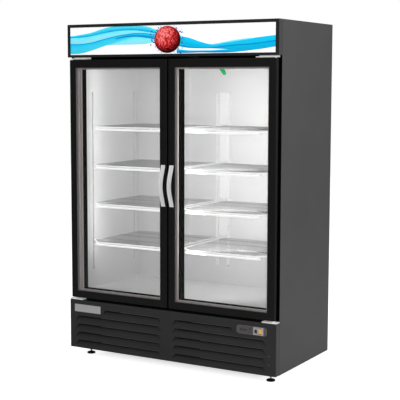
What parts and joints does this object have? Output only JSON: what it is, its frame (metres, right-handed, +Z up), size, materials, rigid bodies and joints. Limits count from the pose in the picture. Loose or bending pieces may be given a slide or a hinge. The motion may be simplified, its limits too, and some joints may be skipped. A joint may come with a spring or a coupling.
{
  "type": "glass door merchandiser",
  "caption": "Tall upright display refrigerator with hinged glass doors, wire shelves on uprights, a lit header sign, a louvred base and a bottom-mounted machine.",
  "frame": {"origin": "on the floor, under the middle of the whole object, door handles included", "axes": "+X to the right as seen from the front, +Y towards the back, +Z up"},
  "size_m": [1.37, 0.74, 1.9635],
  "materials": {
    "black_steel": "semi-gloss powder coat",
    "galvanised": "galvanised sheet",
    "foam": "rigid polyurethane foam",
    "liner_white": "white pre-painted sheet",
    "frame_black": "satin",
    "door_black": "satin powder coat",
    "sign_white": "printed translucent acrylic",
    "lamp": "opal tube",
    "grille_black": "satin",
    "plate": "brushed, blank",
    "panel_grey": "satin",
    "display": "smoked gloss",
    "amber": "translucent, gloss",
    "motor_black": "gloss enamel",
    "aluminium": "satin",
    "green": "satin",
    "foot_black": "matt black coat",
    "gasket": "soft satin",
    "wire_white": "white plastic-coated wire",
    "glass": "clear, polished",
    "chrome": "satin chrome",
    "hinge_steel": "zinc plated"
  },
  "bodies": {
    "cabinet": {"outer_cabinet": "black_steel", "back_panel": "galvanised", "foam_insulation": "foam", "inner_liner": "liner_white", "face_frame": "frame_black", "header_housing": "door_black", "sign_panel": "sign_white", "sign_lamp": "lamp", "base_pan": "galvanised", "front_grille": "grille_black", "name_plate": "plate", "rear_grille": "galvanised", "control_bezel": "panel_grey", "thermostat": "display", "compressor": "motor_black", "condenser": "aluminium", "evaporator_housing": "liner_white", "evaporator_coil": "aluminium", "temperature_probe": "green", "led_bar_left": "aluminium", "pilaster_left_front": "liner_white", "pilaster_left_rear": "liner_white", "left_top_hinge": "hinge_steel", "left_bottom_hinge": "hinge_steel", "led_bar_right": "aluminium", "pilaster_right_front": "liner_white", "pilaster_right_rear": "liner_white", "right_top_hinge": "hinge_steel", "right_bottom_hinge": "hinge_steel", "pilaster_centre_front": "liner_white", "pilaster_centre_rear": "liner_white"},
    "left_door": {"left_door_frame": "door_black", "left_door_outer_glass": "glass", "left_door_spacer": "aluminium", "left_door_inner_glass": "glass", "left_door_gasket": "gasket", "left_door_handle": "chrome"},
    "shelf_left_1": {"shelf_left_1": "wire_white"},
    "shelf_left_2": {"shelf_left_2": "wire_white"},
    "shelf_left_3": {"shelf_left_3": "wire_white"},
    "shelf_left_4": {"shelf_left_4": "wire_white"},
    "foot_front_left": {"foot_front_left": "foot_black"},
    "foot_rear_left": {"foot_rear_left": "foot_black"},
    "right_door": {"right_door_frame": "door_black", "right_door_outer_glass": "glass", "right_door_spacer": "aluminium", "right_door_inner_glass": "glass", "right_door_gasket": "gasket", "right_door_handle": "chrome"},
    "shelf_right_1": {"shelf_right_1": "wire_white"},
    "shelf_right_2": {"shelf_right_2": "wire_white"},
    "shelf_right_3": {"shelf_right_3": "wire_white"},
    "shelf_right_4": {"shelf_right_4": "wire_white"},
    "foot_front_right": {"foot_front_right": "foot_black"},
    "foot_rear_right": {"foot_rear_right": "foot_black"},
    "thermostat_button": {"thermostat_button": "panel_grey"},
    "light_switch": {"light_switch": "display"},
    "power_switch": {"power_switch": "amber"},
    "condenser_fan": {"condenser_fan": "motor_black"},
    "evaporator_fan": {"evaporator_fan": "motor_black"}
  },
  "joints": [
    {"name": "left_door_hinge", "type": "hinge", "parent": "cabinet", "child": "left_door", "pos_m": [-0.66, -0.315, 0.357], "axis": [0, 0, -1], "range_deg": [0, 115]},
    {"name": "right_door_hinge", "type": "hinge", "parent": "cabinet", "child": "right_door", "pos_m": [0.66, -0.315, 0.357], "axis": [0, 0, 1], "range_deg": [0, 115]},
    {"name": "light_switch_rocker", "type": "hinge", "parent": "cabinet", "child": "light_switch", "pos_m": [0.5655, -0.328, 0.2945], "axis": [-1, 0, 0], "range_deg": [0, 14]},
    {"name": "power_switch_rocker", "type": "hinge", "parent": "cabinet", "child": "power_switch", "pos_m": [0.5935, -0.328, 0.2945], "axis": [-1, 0, 0], "range_deg": [0, 14]},
    {"name": "thermostat_button_press", "type": "slide", "parent": "cabinet", "child": "thermostat_button", "axis": [0, 1, 0], "range_m": [0, 0.001], "stiffness_N_per_m": 800},
    {"name": "condenser_fan_spin", "type": "hinge", "parent": "cabinet", "child": "condenser_fan", "pos_m": [-0.38, -0.156, 0.19215], "axis": [0, 1, 0], "continuous": true},
    {"name": "evaporator_fan_spin", "type": "hinge", "parent": "cabinet", "child": "evaporator_fan", "pos_m": [0, -0.04, 1.822], "axis": [0, 1, 0], "continuous": true},
    {"name": "foot_front_left_turn", "type": "hinge", "parent": "cabinet", "child": "foot_front_left", "pos_m": [-0.606, -0.229, 0.05], "axis": [0, 0, -1], "range_deg": [0, 4800]},
    {"name": "foot_rear_left_turn", "type": "hinge", "parent": "cabinet", "child": "foot_rear_left", "pos_m": [-0.53, 0.31, 0.05], "axis": [0, 0, -1], "range_deg": [0, 4800]},
    {"name": "foot_front_right_turn", "type": "hinge", "parent": "cabinet", "child": "foot_front_right", "pos_m": [0.606, -0.229, 0.05], "axis": [0, 0, -1], "range_deg": [0, 4800]},
    {"name": "foot_rear_right_turn", "type": "hinge", "parent": "cabinet", "child": "foot_rear_right", "pos_m": [0.53, 0.31, 0.05], "axis": [0, 0, -1], "range_deg": [0, 4800]},
    {"name": "shelf_left_1_lift", "type": "slide", "parent": "cabinet", "child": "shelf_left_1", "axis": [0, 0, 1], "range_m": [0, 0.02]},
    {"name": "shelf_left_2_lift", "type": "slide", "parent": "cabinet", "child": "shelf_left_2", "axis": [0, 0, 1], "range_m": [0, 0.02]},
    {"name": "shelf_left_3_lift", "type": "slide", "parent": "cabinet", "child": "shelf_left_3", "axis": [0, 0, 1], "range_m": [0, 0.02]},
    {"name": "shelf_left_4_lift", "type": "slide", "parent": "cabinet", "child": "shelf_left_4", "axis": [0, 0, 1], "range_m": [0, 0.02]},
    {"name": "shelf_right_1_lift", "type": "slide", "parent": "cabinet", "child": "shelf_right_1", "axis": [0, 0, 1], "range_m": [0, 0.02]},
    {"name": "shelf_right_2_lift", "type": "slide", "parent": "cabinet", "child": "shelf_right_2", "axis": [0, 0, 1], "range_m": [0, 0.02]},
    {"name": "shelf_right_3_lift", "type": "slide", "parent": "cabinet", "child": "shelf_right_3", "axis": [0, 0, 1], "range_m": [0, 0.02]},
    {"name": "shelf_right_4_lift", "type": "slide", "parent": "cabinet", "child": "shelf_right_4", "axis": [0, 0, 1], "range_m": [0, 0.02]}
  ]
}
